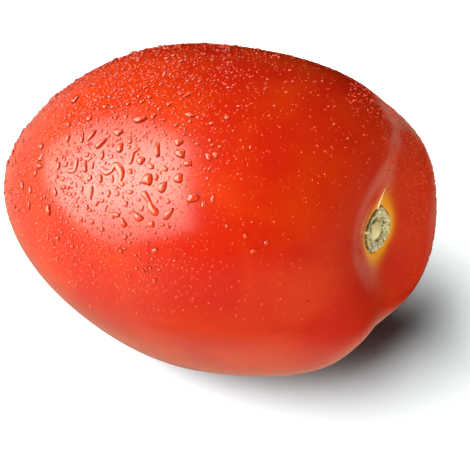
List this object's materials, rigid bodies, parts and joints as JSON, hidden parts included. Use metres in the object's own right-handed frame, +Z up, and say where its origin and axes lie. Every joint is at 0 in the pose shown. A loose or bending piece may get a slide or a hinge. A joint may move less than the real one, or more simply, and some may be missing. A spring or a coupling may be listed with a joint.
{
  "type": "plum tomato",
  "caption": "Ripe plum tomato lying on its side, with a blossom tip, grooved shoulders and a corky stem scar in a shallow pit.",
  "frame": {"origin": "on the surface that the fruit lies on, under the middle of its bounding box", "axes": "+X along the fruit toward its stem end, +Z up"},
  "size_m": [0.08, 0.0574, 0.0633],
  "materials": {
    "skin": "smooth waxy ripe tomato skin, glossy, orange-red, a little yellow round the stem scar",
    "scar": "dry pale brown cork, rough, with dark pits and a cracked rim",
    "water": "clear water drops on the skin"
  },
  "bodies": {
    "root": {"tomato": "skin"}
  },
  "joints": []
}
